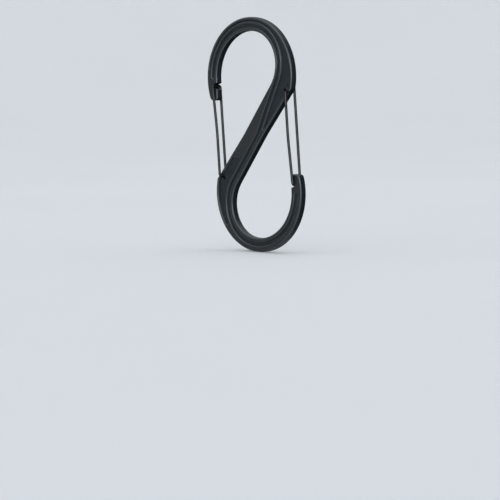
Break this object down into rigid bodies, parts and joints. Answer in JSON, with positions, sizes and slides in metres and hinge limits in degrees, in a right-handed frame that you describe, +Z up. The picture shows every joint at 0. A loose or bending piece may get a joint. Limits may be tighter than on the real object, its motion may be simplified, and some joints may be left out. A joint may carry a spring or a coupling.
{
  "type": "s-shaped hanging hook",
  "caption": "S-shaped moulded hook with a sprung wire gate across each eye: the upper eye hangs on a pipe and the lower eye carries a bicycle wheel.",
  "frame": {"origin": "centre of the S, where the diagonal beam's centreline crosses the middle of the body's thickness", "axes": "+Z up from the lower eye to the upper eye, Y through the body's thickness with the front face towards -Y, +X to the right as seen from the front"},
  "size_m": [0.1576, 0.0162, 0.2798],
  "materials": {
    "black_plastic": "satin moulded charcoal",
    "gate_steel": "plain drawn wire"
  },
  "bodies": {
    "body": {"s_body": "black_plastic"},
    "lower_gate": {"lower_gate": "gate_steel"},
    "upper_gate": {"upper_gate": "gate_steel"}
  },
  "joints": [
    {"name": "lower_gate_hinge", "type": "hinge", "parent": "body", "child": "lower_gate", "pos_m": [0.0567, 0, 0.0589], "axis": [0, 1, 0], "range_deg": [0, 38], "stiffness_Nm_per_rad": 0.71, "springref_deg": -28.07},
    {"name": "upper_gate_hinge", "type": "hinge", "parent": "body", "child": "upper_gate", "pos_m": [-0.0567, 0, -0.0589], "axis": [0, 1, 0], "range_deg": [0, 38], "stiffness_Nm_per_rad": 0.71, "springref_deg": -28.07}
  ]
}
